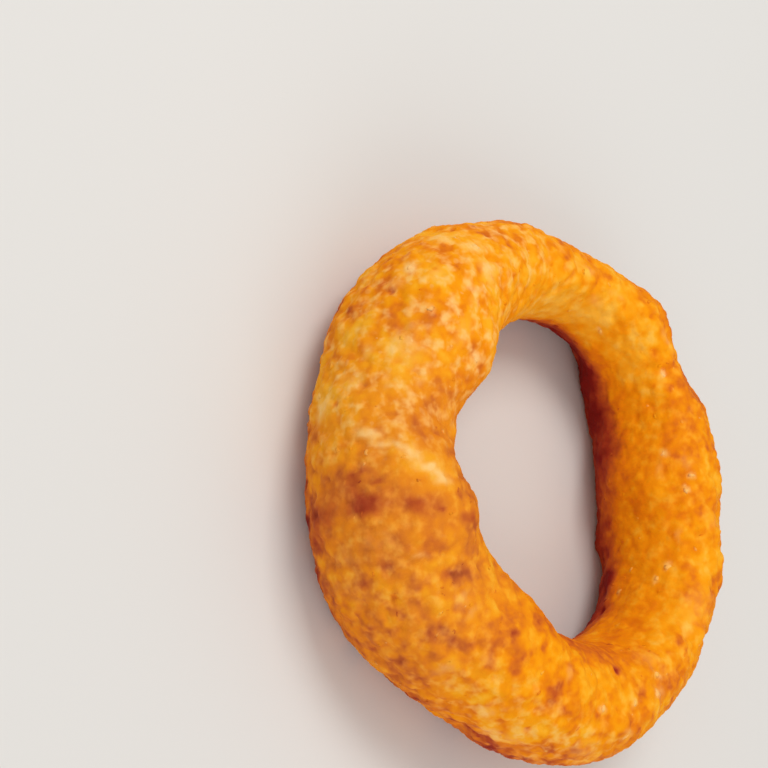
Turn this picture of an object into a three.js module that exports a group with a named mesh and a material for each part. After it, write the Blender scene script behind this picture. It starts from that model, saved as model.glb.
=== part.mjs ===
// One thick battered and fried onion ring.
// It lies flat on z = 0, in millimetres with +Z up, and its origin is under the middle of its box.
// A place on it is given by two angles: turn goes round the ring, anticlockwise from +X, and lap goes round
// the crust, from its outermost line (0) over the top (90), down the hole's wall (180) and under it (270).
import * as THREE from "three";
import { mergeVertices } from "three/addons/utils/BufferGeometryUtils.js";

// ---- Driving dimensions, in millimetres and degrees ----

// The crust's size at twelve stations, 30 degrees apart from +X: outer radius, radius of the hole, height.
const STATIONS = [
  [40.5, 22.0, 23.5],
  [40.5, 26.0, 22.0],
  [39.5, 25.0, 21.0],
  [39.0, 22.5, 21.5],
  [40.0, 28.0, 19.5],
  [40.5, 28.5, 19.5],
  [40.0, 24.0, 20.5],
  [40.0, 19.0, 24.0],
  [37.0, 18.0, 22.0],
  [37.0, 16.0, 25.0],
  [37.0, 14.5, 23.0],
  [36.0, 16.5, 25.0],
];
const SECTION_POWER = 2.1; // 2 makes the crust's section an ellipse, and more makes it squarer
const PRESSED_DEPTH = 0.7; // how far the underside is flattened where it lay to drain

// The shoulders, knobs and dents that the batter left, each a soft mound. A negative rise is a dent.
const MOUNDS = [
  { turn: 5, lap: 20, spread: 4.0, rise: 0.4 },
  { turn: 62, lap: 60, spread: 2.0, rise: 0.6 },
  { turn: 70, lap: 55, spread: 3.5, rise: -1.0 },
  { turn: 114, lap: 52, spread: 3.0, rise: -1.4 },
  { turn: 131, lap: 58, spread: 4.0, rise: 1.4 },
  { turn: 171, lap: 28, spread: 1.6, rise: 0.7 },
  { turn: 193, lap: 0, spread: 1.6, rise: 0.8 },
  { turn: 220, lap: 330, spread: 4.5, rise: 0.9 },
  { turn: 290, lap: 320, spread: 5.0, rise: 0.6 },
  { turn: 310, lap: 330, spread: 3.0, rise: -0.8 },
  { turn: 340, lap: 335, spread: 2.5, rise: 0.6 },
  // on the wall of the hole
  { turn: 44, lap: 232, spread: 4.5, rise: -0.9 },
  { turn: 60, lap: 238, spread: 2.0, rise: -0.7 },
  { turn: 68, lap: 238, spread: 1.8, rise: 1.7 },
  { turn: 134, lap: 234, spread: 4.0, rise: -2.2 },
  { turn: 213, lap: 140, spread: 3.2, rise: 1.6 },
  { turn: 262, lap: 130, spread: 2.5, rise: -0.5 },
  { turn: 272, lap: 127, spread: 2.5, rise: 0.8 },
  { turn: 343, lap: 138, spread: 2.0, rise: -1.2 },
];

// The unevenness all over, in three sizes. Each lump is as high as its size's rise, or lower, or a pit.
const LUMP_SIZES = [
  { count: 26, spread: 5.5, rise: 0.7 },
  { count: 130, spread: 2.6, rise: 0.5 },
  { count: 700, spread: 1.2, rise: 0.42 },
];
const LUMP_SEED = 7;

const RING_STEPS = 160; // facets round the ring
const CRUST_STEPS = 36; // facets round the crust

// ---- The smooth crust ----

const sizes = new THREE.CatmullRomCurve3(
  STATIONS.map((sizesHere) => new THREE.Vector3(...sizesHere)),
  true,
  "catmullrom",
);

// A sine or cosine, pushed towards -1 or 1 so that an ellipse becomes a rounder-cornered section.
function squarer(value) {
  return Math.sign(value) * Math.abs(value) ** (2 / SECTION_POWER);
}

function smoothCrust(turn, lap) {
  const angle = THREE.MathUtils.degToRad(turn);
  const across = squarer(Math.cos(THREE.MathUtils.degToRad(lap)));
  const up = squarer(Math.sin(THREE.MathUtils.degToRad(lap)));
  const { x: outer, y: hole, z: height } = sizes.getPoint(turn / 360);
  const radius = (outer + hole) / 2 + ((outer - hole) / 2) * across;
  const z = (height / 2) * (1 + up) - PRESSED_DEPTH;
  return new THREE.Vector3(radius * Math.cos(angle), radius * Math.sin(angle), z);
}

// ---- Lumps ----

// Numbers from 0 to 1 that are the same on every run.
function* randomNumbers(seed) {
  let state = seed;
  while (true) {
    state = (Math.imul(state, 1664525) + 1013904223) >>> 0;
    yield state / 2 ** 32;
  }
}

function scatteredLumps() {
  const numbers = randomNumbers(LUMP_SEED);
  const draw = (low, high) => THREE.MathUtils.lerp(low, high, numbers.next().value);
  return LUMP_SIZES.flatMap(({ count, spread, rise }) =>
    Array.from({ length: count }, () => ({
      turn: draw(0, 360),
      lap: draw(0, 360),
      spread,
      rise: draw(-rise, rise),
    })),
  );
}

const lumps = [...MOUNDS, ...scatteredLumps()].map(({ turn, lap, spread, rise }) => ({
  centre: smoothCrust(turn, lap),
  spread,
  rise,
}));

// How far the lumpy crust stands off the smooth one at a point of it.
function relief(point) {
  return lumps.reduce((height, { centre, spread, rise }) => {
    const distance = point.distanceTo(centre) / spread;
    return height + rise * Math.exp(-(distance ** 2) / 2);
  }, 0);
}

// ---- The ring ----

function ringGeometry() {
  const torus = new THREE.TorusGeometry(1, 0.5, CRUST_STEPS, RING_STEPS);
  const { position, uv } = torus.attributes;
  for (let i = 0; i < position.count; i++) {
    const { x, y, z } = smoothCrust(uv.getX(i) * 360, uv.getY(i) * 360);
    position.setXYZ(i, x, y, z);
  }
  torus.deleteAttribute("uv");
  torus.deleteAttribute("normal");

  const crust = mergeVertices(torus);
  crust.computeVertexNormals();
  const { position: places, normal: normals } = crust.attributes;
  const point = new THREE.Vector3();
  const outwards = new THREE.Vector3();
  for (let i = 0; i < places.count; i++) {
    point.fromBufferAttribute(places, i);
    outwards.fromBufferAttribute(normals, i);
    point.addScaledVector(outwards, relief(point));
    places.setXYZ(i, point.x, point.y, Math.max(point.z, 0));
  }

  crust.computeBoundingBox();
  const middle = crust.boundingBox.getCenter(new THREE.Vector3());
  crust.translate(-middle.x, -middle.y, 0);
  crust.computeVertexNormals();
  return crust;
}

const friedBatter = new THREE.MeshStandardMaterial({
  color: "#e8962f",
  roughness: 0.75,
  metalness: 0,
});

const ring = new THREE.Mesh(ringGeometry(), friedBatter);
ring.name = "onion_ring";

const onionRing = new THREE.Group();
onionRing.add(ring);

export default onionRing;
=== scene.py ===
"""One battered and fried onion ring, lying on a pale table.

Lengths are in metres, with +Z up, and lengths that are noted in mm are multiplied by MM.
A place on the ring is given by two angles. turn goes round the ring, anticlockwise from +X. lap goes round the
crust, from its outermost line (0) over the top (90), down the wall of the hole (180) and under it (270).
"""
import math
import random

import bmesh
import bpy
import numpy as np
from mathutils import Matrix, Quaternion, Vector, noise
from mathutils.bvhtree import BVHTree


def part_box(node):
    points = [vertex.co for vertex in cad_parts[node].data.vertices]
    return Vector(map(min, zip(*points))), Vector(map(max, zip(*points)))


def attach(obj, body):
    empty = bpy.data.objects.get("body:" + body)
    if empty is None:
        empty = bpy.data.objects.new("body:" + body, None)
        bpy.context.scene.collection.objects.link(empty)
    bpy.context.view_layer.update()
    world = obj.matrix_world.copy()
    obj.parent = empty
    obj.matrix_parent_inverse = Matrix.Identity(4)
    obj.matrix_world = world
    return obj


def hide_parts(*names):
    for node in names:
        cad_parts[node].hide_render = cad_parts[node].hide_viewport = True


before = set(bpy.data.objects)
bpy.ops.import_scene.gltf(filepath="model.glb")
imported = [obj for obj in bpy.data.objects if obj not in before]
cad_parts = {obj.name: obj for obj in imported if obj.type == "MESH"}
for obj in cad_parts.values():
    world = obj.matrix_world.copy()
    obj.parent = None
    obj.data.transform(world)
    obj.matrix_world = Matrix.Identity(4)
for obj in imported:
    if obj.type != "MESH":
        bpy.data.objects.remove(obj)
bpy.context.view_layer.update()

MM = 0.001
UP = Vector((0, 0, 1))

# ---- Camera ----

IMAGE_SIDE = 768  # pixels
LENS = 85.0  # mm
SENSOR_WIDTH = 36.0  # mm
CAMERA_ELEVATION = math.radians(45.2)
CAMERA_ROLL = math.radians(81.0)
CAMERA_DISTANCE = 269.3 * MM
NEAREST_SEEN = 10 * MM
FURTHEST_SEEN = 10
LOOKED_AT = Vector((0, 0, 11)) * MM  # the middle of the ring
LOOKED_AT_IN_IMAGE = (143.9, 106.9)  # pixels to the right of the image's middle, and below it
TOWARDS_CAMERA = Vector((0, -math.cos(CAMERA_ELEVATION), math.sin(CAMERA_ELEVATION)))


def make_camera():
    data = bpy.data.cameras.new("camera")
    data.lens = LENS
    data.sensor_width = SENSOR_WIDTH
    data.clip_start = NEAREST_SEEN
    data.clip_end = FURTHEST_SEEN
    camera = bpy.data.objects.new("camera", data)
    bpy.context.scene.collection.objects.link(camera)
    bpy.context.scene.camera = camera

    level = TOWARDS_CAMERA.to_track_quat("Z", "Y")
    rolled = level @ Quaternion(UP, CAMERA_ROLL)
    right, down = LOOKED_AT_IN_IMAGE
    focal_length = LENS / SENSOR_WIDTH * IMAGE_SIDE
    off_centre = (-UP).rotation_difference(Vector((right, -down, -focal_length)))
    camera.location = LOOKED_AT + TOWARDS_CAMERA * CAMERA_DISTANCE
    camera.rotation_mode = "QUATERNION"
    camera.rotation_quaternion = rolled @ off_centre.inverted()


make_camera()

# ---- Colours, nodes and objects ----


def linear(hex_colour):
    """An sRGB hex colour as linear red, green, blue and alpha."""
    srgb = [int(hex_colour[i : i + 2], 16) / 255 for i in (1, 3, 5)]
    return [c / 12.92 if c <= 0.04045 else ((c + 0.055) / 1.055) ** 2.4 for c in srgb] + [1.0]


def add_node(tree, kind, inputs=None, stops=(), **settings):
    """Adds a node. An input is a number, a colour or the socket that feeds it. Stops are a ramp's colours."""
    node = tree.nodes.new(kind)
    for name, value in settings.items():
        setattr(node, name, value)
    for name, value in (inputs or {}).items():
        if isinstance(value, bpy.types.NodeSocket):
            tree.links.new(value, node.inputs[name])
        else:
            node.inputs[name].default_value = value
    for i, (position, colour) in enumerate(stops):
        if i < 2:  # a ramp starts with two
            stop = node.color_ramp.elements[i]
            stop.position = position
        else:
            stop = node.color_ramp.elements.new(position)
        stop.color = linear(colour)
    return node


def add_object(name, made, material):
    """Turns a bmesh into an object of the scene."""
    mesh = bpy.data.meshes.new(name)
    made.to_mesh(mesh)
    made.free()
    mesh.shade_smooth()
    mesh.materials.append(material)
    piece = bpy.data.objects.new(name, mesh)
    bpy.context.scene.collection.objects.link(piece)
    return piece


def add_fields(piece, fields):
    """Gives each vertex of a piece its value of each field, for the material to read."""
    for name, values in fields.items():
        attribute = piece.data.attributes.new(name, "FLOAT", "POINT")
        attribute.data.foreach_set("value", np.asarray(values, dtype=np.float32))


# ---- The solid that the crust follows ----

SAME_PLACE = 0.001 * MM  # corners of the solid's faces that are this close are one
FAR = 0.1  # further from the middle of the ring than any of it


def solid_of(node_name):
    """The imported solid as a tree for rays."""
    made = bmesh.new()
    made.from_mesh(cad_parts[node_name].data)
    bmesh.ops.remove_doubles(made, verts=made.verts, dist=SAME_PLACE)
    tree = BVHTree.FromBMesh(made)
    made.free()
    return tree


solid = solid_of("onion_ring")
ring_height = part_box("onion_ring")[1].z


def level_direction(turn):
    return Vector((math.cos(turn), math.sin(turn), 0))


def section_direction(turn, lap):
    """From the core of the ring's section towards the crust."""
    return level_direction(turn) * math.cos(lap) + UP * math.sin(lap)


def core_at(turn):
    """The middle of the ring's section."""
    outwards = level_direction(turn)
    half_way_up = UP * ring_height / 2
    hole_wall = solid.ray_cast(half_way_up, outwards)[0]
    outer_wall = solid.ray_cast(half_way_up + outwards * FAR, -outwards)[0]
    middle = (hole_wall + outer_wall) / 2
    top = solid.ray_cast(middle + UP * FAR, -UP)[0]
    return Vector((middle.x, middle.y, top.z / 2))


# ---- Patches of the crust ----

MIDDLE_RADIUS = 30  # mm, from the ring's axis to the core of its section
HALF_THICKNESS = 10  # mm, from that core to the crust

# A patch is (turn and lap of its middle in degrees, length along the ring and width across it in mm,
# strength). It has half of its strength at its edge, and fades out softly past it.
BROWNED_AND_SHADED_SIDES = [
    (265, 345, 11, 13, 0.09),
    (264, 10, 10, 14, 0.12),
    (268, 34, 10, 9, 0.08),
    (286, 345, 18, 10, 0.16),
    (285, 35, 34, 26, 0.14),
    (274, 118, 14, 5, 0.14),
    (246, 105, 20, 9, 0.08),
    (249, 64, 10, 12, 0.06),
    (356, 138, 26, 9, 0.22),
    (12, 98, 10, 8, 0.06),
    # The next three darken the bottom rim, which turns away from the light: painted shade.
    (335, 348, 60, 9, 0.14),
    (350, 350, 34, 8, 0.26),
    (352, 20, 20, 6, 0.20),
    # The next one darkens the upper half of the hole's wall: painted shade.
    (116, 186, 24, 15, 0.25),
    (136, 92, 12, 8, 0.06),
    # The next one darkens the ring's outer edge there: painted shade.
    (112, 90, 18, 12, 0.17),
]
# Sides that are a little more golden than the rest.
GOLDEN_SIDES = [
    (158, 138, 44, 16, 0.10),
    (142, 144, 24, 16, 0.19),
    (197, 98, 16, 12, 0.12),
    (60, 150, 60, 12, 0.05),
    (78, 206, 16, 10, 0.12),
    (345, 20, 40, 16, 0.05),
    (336, 22, 12, 8, 0.06),
    (352, 102, 14, 8, 0.08),
    (244, 355, 13, 12, 0.12),
    (262, 54, 6, 14, 0.14),
    (278, 24, 12, 12, 0.08),
]
# Where the batter spread evenly, so that it is less mottled.
EVEN_SIDES = [
    (269, 48, 11, 22, 0.80),
    (250, 48, 12, 22, 0.40),
]
BROWN_PATCHES = [
    (268, 32, 2.8, 5.4, 0.21),
    (269, 72, 2.8, 4.8, 0.20),
    (269, 65, 1.9, 1.7, 0.12),
    (260, 33, 1.7, 1.7, 0.18),
    (262, 26, 1.1, 1.6, 0.16),
    (263, 43, 1.1, 1.5, 0.18),
    (269, 346, 3.2, 6.0, 0.12),
    (275, 102, 2.0, 2.4, 0.20),
    (268, 99, 1.5, 1.4, 0.18),
    (271, 82, 1.0, 1.1, 0.18),
    (275, 71, 2.6, 1.8, 0.14),
    (280, 70, 2.6, 2.8, 0.18),
    (277, 49, 2.4, 2.0, 0.10),
    (282, 35, 2.4, 1.6, 0.16),
    (288, 74, 1.8, 3.4, 0.12),
    (273, 337, 3.0, 5.0, 0.12),
    (284, 15, 1.8, 2.1, 0.12),
    (300, 41, 2.8, 3.4, 0.08),
    (307, 69, 1.8, 3.4, 0.16),
    (297, 22, 2.4, 1.4, 0.16),
    (319, 78, 2.0, 3.0, 0.08),
    (322, 109, 2.6, 2.8, 0.18),
    (336, 356, 6.0, 2.2, 0.16),
    (317, 36, 1.8, 3.0, 0.08),
    (341, 85, 2.8, 2.4, 0.06),
    (3, 75, 3.2, 2.0, 0.12),
    (352, 76, 1.4, 1.2, 0.12),
    (9, 95, 2.6, 2.4, 0.12),
    (126, 105, 1.1, 3.0, 0.12),
    (251, 338, 3.4, 4.0, 0.16),
    (250, 80, 3.0, 1.8, 0.10),
    (248, 60, 1.4, 1.4, 0.10),
    (248, 73, 1.3, 1.3, 0.10),
    (225, 0, 2.6, 4.4, 0.34),
    (229, 53, 2.2, 1.7, 0.22),
    (218, 72, 2.6, 1.8, 0.14),
    (213, 80, 3.0, 1.6, 0.12),
    (215, 101, 1.6, 2.8, 0.14),
    (221, 122, 2.0, 3.0, 0.16),
    (237, 12, 3.4, 3.8, 0.10),
    (186, 44, 2.4, 4.0, 0.10),
]
FLOURY_SIDES = [
    (248, 12, 12, 22, 0.45),
    (228, 50, 24, 32, 0.85),
    (194, 70, 26, 26, 0.52),
    (180, 56, 20, 14, 0.35),
    (280, 30, 32, 24, 0.20),
    (328, 24, 24, 14, 0.50),
    (352, 30, 16, 12, 0.45),
    (20, 80, 22, 12, 0.12),
    (100, 110, 60, 12, 0.08),
]
PALE_PATCHES = [
    (253, 39, 1.4, 3.3, 0.65),
    (255, 48, 1.2, 2.2, 0.50),
    (255, 60, 1.2, 2.6, 0.55),
    (257, 69, 1.7, 2.0, 0.85),
    (260, 74, 1.4, 1.8, 0.75),
    (261, 80, 1.7, 1.7, 0.85),
    (263, 86, 1.8, 2.0, 0.60),
    (214, 33, 2.2, 1.8, 0.30),
    (218, 30, 1.3, 2.2, 0.22),
    (213, 53, 2.0, 1.9, 0.22),
    (201, 80, 2.6, 3.0, 0.35),
    (199, 60, 1.4, 1.4, 0.30),
    (202, 30, 2.2, 2.4, 0.22),
    (226, 56, 1.6, 1.6, 0.20),
    (225, 66, 1.2, 1.5, 0.20),
    (231, 49, 3.2, 1.2, 0.28),
    (232, 57, 4.0, 4.0, 0.15),
    (230, 62, 0.9, 4.6, 0.28),
    (240, 52, 2.2, 0.9, 0.25),
    (237, 77, 2.2, 1.0, 0.25),
    (234, 30, 1.8, 1.7, 0.20),
    (241, 23, 2.0, 3.0, 0.30),
    (247, 352, 2.2, 3.6, 0.40),
    (220, 91, 3.4, 1.7, 0.22),
    (209, 85, 3.8, 1.0, 0.28),
    (222, 112, 1.7, 1.5, 0.20),
    (275, 33, 2.0, 3.6, 0.08),
    (278, 4, 1.8, 3.8, 0.08),
    (287, 4, 2.6, 3.0, 0.08),
    (281, 60, 1.1, 1.8, 0.20),
    (296, 80, 1.8, 2.6, 0.16),
    (301, 79, 1.4, 2.4, 0.16),
    (308, 36, 1.8, 3.2, 0.18),
    (324, 32, 2.4, 1.8, 0.22),
    (331, 12, 3.4, 3.4, 0.22),
    (336, 24, 3.2, 2.2, 0.16),
    (352, 46, 4.0, 3.0, 0.16),
    (338, 93, 1.3, 1.8, 0.24),
    (19, 111, 2.6, 2.4, 0.12),
    (39, 97, 3.2, 1.5, 0.12),
    (47, 94, 4.8, 5.0, 0.10),
    (73, 92, 2.4, 2.4, 0.12),
    (92, 109, 2.0, 2.2, 0.14),
    (90, 134, 2.6, 1.2, 0.12),
    (67, 122, 2.6, 0.8, 0.12),
    (157, 89, 2.6, 1.1, 0.22),
    (150, 112, 2.0, 2.2, 0.14),
    (147, 97, 2.8, 1.0, 0.14),
    (126, 88, 4.2, 1.2, 0.20),
]
# A pit, or a crumb that stands in for a glint, is (turn and lap in degrees, size in mm).
PITS = [
    (288, 34, 1.1),
    (246, 11, 0.9),
    (220, 28, 1.0),
    (196, 29, 0.8),
    (3, 112, 1.0),
    (39, 211, 1.2),
    (335, 40, 1.0),
    # The next pit is painted dark for the shadow where a neighbouring ring touched: a painted shadow.
    (150, 86, 1.4),
    (326, 95, 1.2),
]
# Pale crumbs of batter, painted paler still to stand in for oily glints: painted highlights.
GLINT_CRUMBS = [
    (55, 131, 1.4),
    (45, 188, 1.3),
    (50, 140, 1.1),
    (16, 85, 2.0),
    (354, 82, 1.4),
    (6, 85, 1.4),
    (3, 63, 1.8),
    (87, 108, 1.2),
    (82, 114, 1.2),
    (96, 129, 1.3),
    (119, 107, 1.2),
    (221, 63, 1.3),
    (243, 342, 1.3),
    (141, 141, 1.1),
    (18, 97, 1.1),
    (222, 112, 1.3),
    (199, 60, 1.5),
    (214, 33, 1.3),
]
GLINT_HALO_SIZE = 0.8  # the batter round a glint crumb is painted pale too, as part of the painted highlight, over this share of the crumb's size
GLINT_HALO_STRENGTH = 0.50

PATCH_SHARPNESS = 3.2  # how fast a patch fades past its edge
LEVELLING = 4  # how sharply levelled values bend to their most
MOST_BROWNED = 0.32  # of the batter tones below, where patches overlap
MOST_WALL_TOAST_AND_SHADE = 0.48  # of those tones, at the foot of the hole's wall, which is toasted and painted in shade

# Random patches, for the sides of the ring that the named ones don't reach.
HIDDEN_SEED = 5
HIDDEN_BELOW = 0.1  # a side is hidden where it faces the camera by less than this cosine
HIDDEN_BROWN = {"count": 45, "largest": 4.0, "strongest": 0.35}  # largest in mm
HIDDEN_PALE = {"count": 50, "largest": 3.0, "strongest": 0.2}
SMALLEST_HIDDEN = 1.2  # mm
WEAKEST = 0.4  # random patch or knob, as a share of the strongest

KNOB_SEED = 3
KNOBS = 420
KNOB_SIZES = (0.7, 1.7)  # mm


def hidden_patches(draw, count, largest, strongest):
    patches = []
    while len(patches) < count:
        turn = draw.uniform(0, 360)
        lap = draw.uniform(0, 360)
        outwards = section_direction(math.radians(turn), math.radians(lap))
        if outwards.dot(TOWARDS_CAMERA) < HIDDEN_BELOW:
            length = draw.uniform(SMALLEST_HIDDEN, largest)
            width = draw.uniform(SMALLEST_HIDDEN, largest)
            patches.append((turn, lap, length, width, draw.uniform(WEAKEST, 1) * strongest))
    return patches


def knobs():
    """Patches all over the ring where small knobs of batter stand up."""
    draw = random.Random(KNOB_SEED)
    patches = []
    for _ in range(KNOBS):
        length = draw.uniform(*KNOB_SIZES)
        width = draw.uniform(*KNOB_SIZES)
        turn = draw.uniform(0, 360)
        lap = draw.uniform(0, 360)
        patches.append((turn, lap, length, width, draw.uniform(WEAKEST, 1)))
    return patches


def turned(angles, angle):
    """The angles from one angle to others, from -180 to 180 degrees."""
    return (angles - angle + 180) % 360 - 180


def patch_strength(turns, laps, patches):
    strength = np.zeros(len(turns))
    radius = MIDDLE_RADIUS + HALF_THICKNESS * np.cos(np.radians(laps))
    for turn, lap, length, width, most in patches:
        along = np.radians(turned(turns, turn)) * radius / (length / 2)
        across = np.radians(turned(laps, lap)) * HALF_THICKNESS / (width / 2)
        strength += most * 0.5 ** np.hypot(along, across) ** PATCH_SHARPNESS
    return strength


def soft_step(values, low, high):
    """0 up to low, 1 from high, and smooth between them."""
    t = np.clip((values - low) / (high - low), 0, 1)
    return t * t * (3 - 2 * t)


def levelled(values, most):
    """The values, where those near the most and above it are drawn in to stay just under it."""
    return values / (1 + (values / most) ** LEVELLING) ** (1 / LEVELLING)


# ---- The crust ----

RING_STEPS = 660  # faces round the ring
CRUST_STEPS = 144  # faces round the crust
COLUMN_DIGITS = 4  # of a turn in radians, which tell the rings of vertices apart
SMOOTHING_ROUNDS = 6  # takes the solid's facets away

# Sizes of the noise and of the grains, in mm.
SWELL_SIZE = 6.0
PATCHY_SIZE = 5.0
WOBBLE_SIZE = 1.6
DRIFT_SIZE = 8.0
COARSE_SIZE = 2.2
FINE_SIZE = 1.15
CREASES = 1.5  # how far a grain falls off, for its creases to come to about 0

# How far the noise moves the outlines of small patches and of whole sides, in degrees of turn and of lap.
WAVY = (1.2, 4.0)
DRIFTING = (5, 14)

# The laps between which the wall of the hole, and the inside of the ring, fade in and out, and how far the
# noise moves them, all in degrees.
WALL_BEGINS = (162, 236)
WALL_DRIFT = 12
WALL_WOBBLE = 5
WALL_ENDS = (270, 345)
WALL_END_DRIFT = 10
INSIDE_BEGINS = (95, 150)
INSIDE_DRIFT = 8
INSIDE_ENDS = (240, 300)
INSIDE_EVENNESS = 0.6
INSIDE_SMOOTHNESS = 0.45  # share of the grains' height that is gone there
DULL_SIDE = (0.55, 0.95)  # how far a turn points to -Y where the dull side fades in, and where it is full

# Heights of the relief, in mm.
SWELL_RISE = 0.26
COARSE_RISE = 0.22
PATCHY_RISE = 0.34  # what coarse grains have more of it in some places
FINE_RISE = 0.26
GRAIN_SINK = 0.30  # brings their mean to about the solid's surface
KNOB_RISE = 0.16
PALE_RISE = 0.10
PIT_DEPTH = 0.30

# How much darker the batter is in the pits.
PIT_DARKENING = 0.3
# How much lighter the tops of the grains are painted: a painted highlight.
COARSE_CREST_HIGHLIGHT = 0.6
FINE_CREST_HIGHLIGHT = 0.4


def spun_ring():
    """An even, round ring, in which each vertex is then laid on the solid."""
    made = bmesh.new()
    stand_up = Matrix.Translation((MIDDLE_RADIUS * MM, 0, 0)) @ Matrix.Rotation(math.radians(90), 4, "X")
    bmesh.ops.create_circle(made, segments=CRUST_STEPS, radius=HALF_THICKNESS * MM, matrix=stand_up)
    bmesh.ops.spin(
        made,
        geom=made.edges[:],
        cent=(0, 0, 0),
        axis=UP,
        angle=math.radians(360),
        steps=RING_STEPS,
        use_merge=True,
    )
    bmesh.ops.recalc_face_normals(made, faces=made.faces)
    return made


def lay_on_solid(made):
    """Moves the vertices onto the solid, and returns the turn and lap of each in degrees."""
    cores = {}
    turns = []
    laps = []
    for vertex in made.verts:
        turn = math.atan2(vertex.co.y, vertex.co.x)
        lap = math.atan2(vertex.co.z, vertex.co.xy.length - MIDDLE_RADIUS * MM)
        column = round(turn, COLUMN_DIGITS)
        if column not in cores:
            cores[column] = core_at(turn)
        vertex.co = solid.ray_cast(cores[column], section_direction(turn, lap))[0]
        turns.append(math.degrees(turn))
        laps.append(math.degrees(lap))
    for _ in range(SMOOTHING_ROUNDS):
        bmesh.ops.smooth_vert(
            made,
            verts=made.verts,
            factor=0.5,
            use_axis_x=True,
            use_axis_y=True,
            use_axis_z=True,
        )
    made.normal_update()
    return np.array(turns), np.array(laps)


def noise_at(places, size, shift=0):
    """Smooth noise from about -1 to 1, with features of a size in mm. Another shift gives another noise."""
    offset = Vector((shift, 0, 0))
    return np.array([noise.noise(place / (size * MM) + offset) for place in places])


def domes_at(places, size, shift=0):
    """Packed rounded grains: 1 on top of each, and about 0 in the creases between them."""
    offset = Vector((shift, 0, 0))
    gaps = np.array([noise.voronoi(place / (size * MM) + offset)[0][0] for place in places])
    return 1 - CREASES * gaps**2


def make_crust(material):
    """Returns the crust, the turn and lap of each vertex, and the fields that its colours follow."""
    made = spun_ring()
    turns, laps = lay_on_solid(made)
    lap_round = laps % 360
    places = [vertex.co.copy() for vertex in made.verts]

    swell = noise_at(places, SWELL_SIZE)
    patchy = 0.5 + 0.5 * noise_at(places, PATCHY_SIZE, shift=10)
    wobble = noise_at(places, WOBBLE_SIZE, shift=20)
    wobble_across = noise_at(places, WOBBLE_SIZE, shift=30)
    drift = noise_at(places, DRIFT_SIZE, shift=40)
    drift_across = noise_at(places, DRIFT_SIZE, shift=50)
    coarse = domes_at(places, COARSE_SIZE)
    fine = domes_at(places, FINE_SIZE, shift=60)
    wavy = (turns + WAVY[0] * wobble, laps + WAVY[1] * wobble_across)
    drifting = (turns + DRIFTING[0] * drift, laps + DRIFTING[1] * drift_across)

    draw = random.Random(HIDDEN_SEED)
    brown = BROWN_PATCHES + hidden_patches(draw, **HIDDEN_BROWN)
    pale = PALE_PATCHES + hidden_patches(draw, **HIDDEN_PALE)
    # Round each glint crumb the batter is painted pale: part of the painted highlight.
    for turn, lap, size in GLINT_CRUMBS:
        pale.append((turn, lap, GLINT_HALO_SIZE * size, GLINT_HALO_SIZE * size, GLINT_HALO_STRENGTH))
    paleness = patch_strength(*wavy, pale)
    pitted = patch_strength(turns, laps, [(turn, lap, size, size, 1) for turn, lap, size in PITS])

    # The wall of the hole is darker than the rest: browner batter, and painted shade where the hole shades it.
    wall_toast_and_shade = soft_step(lap_round + WALL_DRIFT * drift + WALL_WOBBLE * wobble, *WALL_BEGINS)
    wall_toast_and_shade *= 1 - soft_step(lap_round + WALL_END_DRIFT * drift_across, *WALL_ENDS)
    toast_and_shade = MOST_WALL_TOAST_AND_SHADE * wall_toast_and_shade
    toast_and_shade += levelled(patch_strength(*drifting, BROWNED_AND_SHADED_SIDES), MOST_BROWNED)
    toast_and_shade += levelled(patch_strength(*wavy, brown), MOST_BROWNED)
    toast_and_shade -= patch_strength(*drifting, GOLDEN_SIDES)
    # Inside the ring the batter ran smoother, and browned evenly.
    inside = soft_step(lap_round + INSIDE_DRIFT * drift_across, *INSIDE_BEGINS)
    inside *= 1 - soft_step(lap_round, *INSIDE_ENDS)
    evenness = patch_strength(*drifting, EVEN_SIDES) + INSIDE_EVENNESS * inside
    # The side towards -Y is mixed towards a duller, darker colour than the other side.
    dullness = soft_step(-np.sin(np.radians(drifting[0])), *DULL_SIDE) * (1 - wall_toast_and_shade)

    grains = (COARSE_RISE + PATCHY_RISE * patchy) * coarse + FINE_RISE * fine - GRAIN_SINK
    height = SWELL_RISE * swell + (1 - INSIDE_SMOOTHNESS * inside) * grains - PIT_DEPTH * pitted
    height += KNOB_RISE * patch_strength(*wavy, knobs()) + PALE_RISE * paleness
    for vertex, place, rise in zip(made.verts, places, height):
        vertex.co = place + vertex.normal * (rise * MM)
        vertex.co.z = max(vertex.co.z, 0)

    crust = add_object("crust", made, material)
    fields = {
        "toast_and_shade": toast_and_shade + PIT_DARKENING * pitted,
        "flour": patch_strength(*drifting, FLOURY_SIDES),
        "dullness": dullness,
        "evenness": np.minimum(evenness, 1),
        "paleness": paleness,
        # The tops of the grains, which are painted lighter: a painted highlight.
        "crest_highlight": COARSE_CREST_HIGHLIGHT * coarse + FINE_CREST_HIGHLIGHT * fine,
    }
    add_fields(crust, fields)
    return crust, turns, laps, fields


# ---- Crumbs ----

# Scattered crumbs, by their count, smallest and largest size in mm, and what they have more of than the
# crust under them.
CRUMB_SEED = 11
SCATTERED_CRUMBS = {
    "pale_crumbs": (110, 0.5, 1.1, {"paleness": 0.25}),
    # Golden crumbs get more of the painted highlight on the tops of grains.
    "golden_crumbs": (160, 0.6, 1.2, {"crest_highlight": 0.3}),
    "toasted_crumbs": (90, 0.5, 1.1, {"toast_and_shade": 0.12}),
}
# How much paler glint crumbs are painted: a painted highlight.
GLINT_CHANGE = {"paleness": 0.15}
CLEAR_OF_TABLE = 2 * MM

# Shares of a crumb's length.
CRUMB_WIDTHS = (0.5, 0.8)
CRUMB_HEIGHTS = (0.28, 0.38)
CRUMB_SINK = 0.09  # how deep its middle lies in the crust
CRUMB_JITTER = 0.09  # how far its corners are out of place


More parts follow.
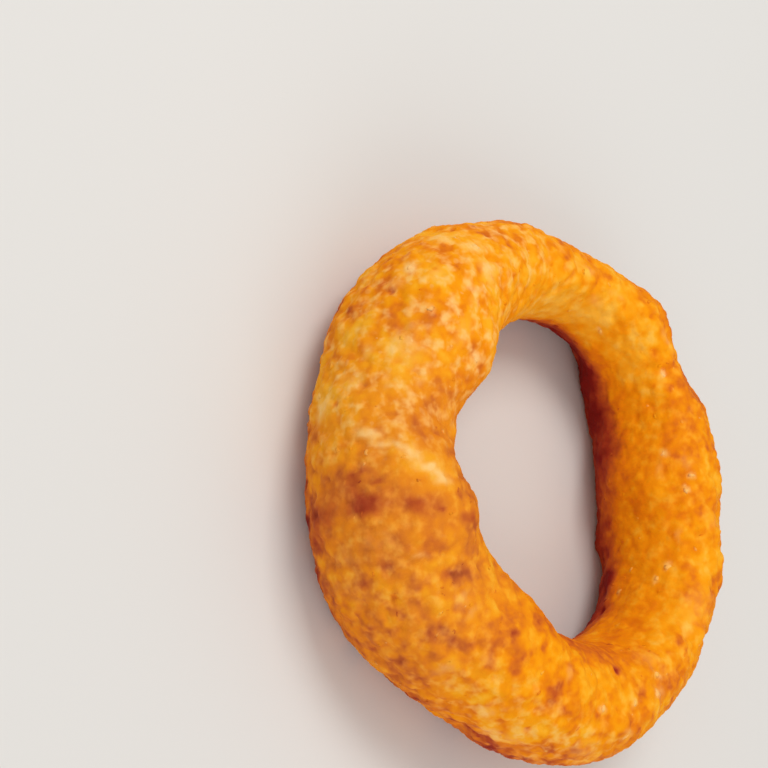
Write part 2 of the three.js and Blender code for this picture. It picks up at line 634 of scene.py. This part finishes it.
def nearest_vertex(turns, laps, turn, lap):
    """The vertex of the crust that is nearest to a turn and lap."""
    longer = MIDDLE_RADIUS / HALF_THICKNESS  # a degree of turn than one of lap
    return int(np.hypot(turned(turns, turn) * longer, turned(laps, lap)).argmin())


def scattered(draw, crust, count, smallest, largest):
    """Random vertices of the crust, evenly over it and clear of the table, each with a size in mm."""
    vertices = crust.data.vertices
    furthest = max(vertex.co.xy.length for vertex in vertices)
    spots = []
    while len(spots) < count:
        index = draw.randrange(len(vertices))
        place = vertices[index].co
        # Vertices are closer together near the hole, so fewer of those are taken.
        if place.z > CLEAR_OF_TABLE and draw.random() < place.xy.length / furthest:
            spots.append((index, draw.uniform(smallest, largest)))
    return spots


def make_crumbs(name, draw, spots, crust, fields, change, material):
    """Knobbly crumbs of batter, mostly sunk in the crust. They take its fields, with a change to some."""
    made = bmesh.new()
    crumb_fields = {field: [] for field in fields}
    for index, size in spots:
        vertex = crust.data.vertices[index]
        seat = vertex.normal.to_track_quat("Z", "Y") @ Quaternion(UP, draw.uniform(0, math.tau))
        widths = Vector((1, draw.uniform(*CRUMB_WIDTHS), draw.uniform(*CRUMB_HEIGHTS))) * size * MM
        place = vertex.co - vertex.normal * (CRUMB_SINK * size * MM)
        shape = Matrix.LocRotScale(place, seat, widths)
        crumb = bmesh.ops.create_icosphere(made, subdivisions=1, radius=0.5, matrix=shape)["verts"]
        for corner in crumb:
            jitter = [draw.uniform(-CRUMB_JITTER, CRUMB_JITTER) * size * MM for _ in range(3)]
            corner.co += Vector(jitter)
        for field, values in crumb_fields.items():
            values += [fields[field][index] + change.get(field, 0)] * len(crumb)
    crumbs = add_object(name, made, material)
    add_fields(crumbs, crumb_fields)
    return crumbs


# ---- Fried batter ----

# from golden, over orange and browned, to the dark wall of the hole, whose darkness is partly painted shade
BATTER_TONES = [
    (0.00, "#FCBB3E"),
    (0.20, "#FBAB20"),
    (0.34, "#F89B0C"),
    (0.44, "#F28E0A"),
    (0.54, "#E87F0F"),
    (0.64, "#D86F1B"),
    (0.74, "#C65C20"),
    (0.86, "#AA3D20"),
    (1.00, "#861D16"),
]
CREAM = "#FCCA80"
DULL_BATTER = "#CE9C44"

FIELDS = ("toast_and_shade", "flour", "dullness", "evenness", "paleness", "crest_highlight")
# Noise, by the size of its features in mm and its detail. Flour's own grain is finer than this one, which is
# as coarse as it needs to be to show.
UNEVENNESS = {
    "ragged": (1.3, 1.0),
    "curds": (1.9, 2.0),
    "mottle": (1.7, 1.5),
    "blotches": (2.6, 1.5),
    "broad": (5.5, 1.5),
    "grain": (0.45, 2.0),
}
# Soft blobs where a noise is high, by the levels at which they begin and are full.
BLOBS = {
    "curds": (0.44, 0.80),
    "blotches": (0.46, 0.70),
}
# Spots, by their spacing, smallest and largest radius in mm, and the share of places that have one.
SPOTS = {
    "fleck": (2.0, 0.30, 0.70, 0.60),
    "speck": (1.3, 0.15, 0.32, 0.50),
    "scorch": (4.2, 0.35, 0.75, 0.35),
}
SPOT_CORE = 0.4  # share of a spot's radius at which it begins to fade
RAGGEDNESS = 0.5  # mm, how far the edges of spots are pushed about

# What the fields and patterns add to how dark the batter is fried, in shares of the tones.
MOTTLING = {
    "mottle": 0.50,
    "broad": 0.78,
    "blotches": 0.19,
    "scorch": 0.12,
}
EVEN_MOTTLING = 0.69  # instead of the mottling, where the batter is even
DARKENING = {
    "toast_and_shade": 1.0,
    "grain": 0.04,
    # The tops of the grains are painted lighter: a painted highlight.
    "crest_highlight": -0.08,
    "flour": -0.03,
    "paleness": -0.25,
    "pale_curds": -0.22,
}
TONE_BASE = -0.215
BROWNING = (0.15, 0.45)  # toast and painted shade, between which the pale places go
LEFT_PALE = 0.10  # share of them that stays past it

# How much flour covers the batter.
FLOURY_CURDS = 0.75  # on the floury side
OTHER_CURDS = 0.01
FLOURY_FLECKS = 0.25
SPECKS = 0.03
PATCH_CONTRAST = 3.0  # the mottle breaks up the pale patches
PATCH_BASE = -0.65
MOST_COVERED = 0.85
MOST_DULLED = 0.16  # share of the dull colour, where the side is dullest

# Depths in mm of what is too fine for the mesh.
BUMPS = {
    "grain": 0.08,
    "mottle": 0.30,
    "curds": 0.08,
}
BUMP_STRENGTH = 0.6


def batter_material():
    """Deep-fried wheat batter: dull and grainy, golden to brown, with soft pale curds and flecks of flour."""
    material = bpy.data.materials.new("fried_batter")
    material.use_nodes = True
    tree = material.node_tree
    tree.nodes.clear()
    here = add_node(tree, "ShaderNodeTexCoord").outputs["Object"]

    pattern = {}  # the socket of each field and pattern
    for name in FIELDS:
        pattern[name] = add_node(tree, "ShaderNodeAttribute", attribute_name=name).outputs["Fac"]
    uneven = {}
    for name, (size, detail) in UNEVENNESS.items():
        inputs = {"Vector": here, "Scale": 1 / (size * MM), "Detail": detail}
        uneven[name] = add_node(tree, "ShaderNodeTexNoise", inputs)
        pattern[name] = uneven[name].outputs[0]
    for name, (low, high) in BLOBS.items():
        inputs = {"Value": pattern[name], "From Min": low, "From Max": high}
        blob = add_node(tree, "ShaderNodeMapRange", inputs, interpolation_type="SMOOTHSTEP")
        pattern[name] = blob.outputs[0]

    # Spots are drawn on places that are pushed about, which makes them ragged.
    push = [2 * RAGGEDNESS * MM] * 3
    inputs = {0: uneven["ragged"].outputs["Color"], 1: push, 2: here}
    pushed = add_node(tree, "ShaderNodeVectorMath", inputs, operation="MULTIPLY_ADD")
    for name, (spacing, smallest, largest, share) in SPOTS.items():
        inputs = {"Vector": pushed.outputs["Vector"], "Scale": 1 / (spacing * MM)}
        cells = add_node(tree, "ShaderNodeTexVoronoi", inputs)
        chance = add_node(tree, "ShaderNodeSeparateColor", {"Color": cells.outputs["Color"]})
        inputs = {"Value": chance.outputs["Red"], "To Min": smallest / spacing, "To Max": largest / spacing}
        radius = add_node(tree, "ShaderNodeMapRange", inputs)
        inputs = {0: cells.outputs["Distance"], 1: radius.outputs[0]}
        nearness = add_node(tree, "ShaderNodeMath", inputs, operation="DIVIDE")
        inputs = {"Value": nearness.outputs[0], "From Min": SPOT_CORE, "To Min": 1.0, "To Max": 0.0}
        disc = add_node(tree, "ShaderNodeMapRange", inputs, interpolation_type="SMOOTHSTEP")
        inputs = {0: chance.outputs["Green"], 1: share}
        there = add_node(tree, "ShaderNodeMath", inputs, operation="LESS_THAN")
        inputs = {0: disc.outputs[0], 1: there.outputs[0]}
        pattern[name] = add_node(tree, "ShaderNodeMath", inputs, operation="MULTIPLY").outputs[0]

    pale_up_to, brown_from = BROWNING
    inputs = {
        "Value": pattern["toast_and_shade"],
        "From Min": pale_up_to,
        "From Max": brown_from,
        "To Min": 1.0,
        "To Max": LEFT_PALE,
    }
    unbrowned_unshaded = add_node(tree, "ShaderNodeMapRange", inputs).outputs[0]
    inputs = {0: pattern["curds"], 1: unbrowned_unshaded}
    pattern["pale_curds"] = add_node(tree, "ShaderNodeMath", inputs, operation="MULTIPLY").outputs[0]

    # How dark the batter is fried: each round of a loop adds a share to what it has so far.
    tone = 0.0
    for name, share in MOTTLING.items():
        inputs = {0: pattern[name], 1: share, 2: tone}
        tone = add_node(tree, "ShaderNodeMath", inputs, operation="MULTIPLY_ADD").outputs[0]
    inputs = {"Factor": pattern["evenness"], "A": tone, "B": EVEN_MOTTLING}
    tone = add_node(tree, "ShaderNodeMix", inputs).outputs[0]
    for name, share in DARKENING.items():
        inputs = {0: pattern[name], 1: share, 2: tone}
        tone = add_node(tree, "ShaderNodeMath", inputs, operation="MULTIPLY_ADD").outputs[0]
    tone = add_node(tree, "ShaderNodeMath", {0: tone, 1: TONE_BASE}, operation="ADD")
    fried = add_node(tree, "ShaderNodeValToRGB", {"Fac": tone.outputs[0]}, stops=BATTER_TONES)

    # How much pale flour lies on it: little on the oily side, more on the floury one, and least where it
    # browned or is painted in shade.
    inputs = {0: pattern["flour"], 1: FLOURY_CURDS, 2: OTHER_CURDS}
    on_curds = add_node(tree, "ShaderNodeMath", inputs, operation="MULTIPLY_ADD").outputs[0]
    inputs = {0: pattern["flour"], 1: FLOURY_FLECKS}
    on_flecks = add_node(tree, "ShaderNodeMath", inputs, operation="MULTIPLY").outputs[0]
    inputs = {0: pattern["mottle"], 1: PATCH_CONTRAST, 2: PATCH_BASE}
    on_patches = add_node(tree, "ShaderNodeMath", inputs, operation="MULTIPLY_ADD").outputs[0]
    floury = {"speck": SPECKS, "curds": on_curds, "fleck": on_flecks, "paleness": on_patches}
    flour = 0.0
    for name, share in floury.items():
        inputs = {0: pattern[name], 1: share, 2: flour}
        flour = add_node(tree, "ShaderNodeMath", inputs, operation="MULTIPLY_ADD").outputs[0]
    flour = add_node(tree, "ShaderNodeMath", {0: flour, 1: unbrowned_unshaded}, operation="MULTIPLY")
    covered = add_node(tree, "ShaderNodeMath", {0: flour.outputs[0], 1: MOST_COVERED}, operation="MINIMUM")
    # The dull side is mixed towards a duller colour, except where it browned or is painted in shade.
    dulled = add_node(tree, "ShaderNodeMath", {0: pattern["dullness"], 1: unbrowned_unshaded}, operation="MULTIPLY")
    dulled = add_node(tree, "ShaderNodeMath", {0: dulled.outputs[0], 1: MOST_DULLED}, operation="MULTIPLY")
    colour = fried.outputs["Color"]
    for amount, tint in ((dulled, DULL_BATTER), (covered, CREAM)):
        inputs = {"Factor": amount.outputs[0], "A": colour, "B": linear(tint)}
        colour = add_node(tree, "ShaderNodeMix", inputs, data_type="RGBA").outputs["Result"]

    surface = {"Base Color": colour, "Roughness": 0.6, "Specular IOR Level": 0.03}
    for name, depth in BUMPS.items():
        inputs = {"Height": pattern[name], "Strength": BUMP_STRENGTH, "Distance": depth * MM}
        if "Normal" in surface:
            inputs["Normal"] = surface["Normal"]
        surface["Normal"] = add_node(tree, "ShaderNodeBump", inputs).outputs[0]
    batter = add_node(tree, "ShaderNodeBsdfPrincipled", surface)
    add_node(tree, "ShaderNodeOutputMaterial", {"Surface": batter.outputs["BSDF"]})
    return material


def dress_ring():
    batter = batter_material()
    crust, turns, laps, fields = make_crust(batter)
    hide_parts("onion_ring")

    draw = random.Random(CRUMB_SEED)
    glint_spots = [(nearest_vertex(turns, laps, turn, lap), size) for turn, lap, size in GLINT_CRUMBS]
    crumbs = [("glint_crumbs", glint_spots, GLINT_CHANGE)]
    for name, (count, smallest, largest, change) in SCATTERED_CRUMBS.items():
        crumbs.append((name, scattered(draw, crust, count, smallest, largest), change))
    pieces = [crust]
    for name, spots, change in crumbs:
        pieces.append(make_crumbs(name, draw, spots, crust, fields, change, batter))
    for piece in pieces:
        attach(piece, "root")


dress_ring()

# ---- Table and lights ----

HALF_TABLE = 3
KEY_PLACE = (-0.36, -0.02, 0.58)
FILL_PLACE = (0.55, -0.20, 0.36)


def table_material():
    """A painted table top: pale and dull, so that it only carries the shadow."""
    material = bpy.data.materials.new("pale_table")
    material.use_nodes = True
    surface = material.node_tree.nodes["Principled BSDF"]
    surface.inputs["Base Color"].default_value = linear("#DEDBD6")
    surface.inputs["Roughness"].default_value = 0.8
    return material


def make_table():
    made = bmesh.new()
    bmesh.ops.create_grid(made, x_segments=1, y_segments=1, size=HALF_TABLE)
    add_object("table", made, table_material())


def softbox(name, place, side, power):
    """A square lamp that faces the ring. place and side are in metres, and power is in watts."""
    data = bpy.data.lights.new(name, "AREA")
    data.energy = power
    data.size = side
    lamp = bpy.data.objects.new(name, data)
    lamp.location = place
    lamp.rotation_euler = Vector(place).to_track_quat("Z", "Y").to_euler()
    bpy.context.scene.collection.objects.link(lamp)


def make_lights():
    softbox("key", KEY_PLACE, side=0.30, power=1.95)
    softbox("fill", FILL_PLACE, side=0.50, power=1.3)
    world = bpy.data.worlds.new("studio")
    world.use_nodes = True
    background = world.node_tree.nodes["Background"]
    background.inputs["Color"].default_value = linear("#FFFFFF")
    background.inputs["Strength"].default_value = 0.60
    bpy.context.scene.world = world
    bpy.context.scene.view_settings.view_transform = "Standard"


make_table()
make_lights()
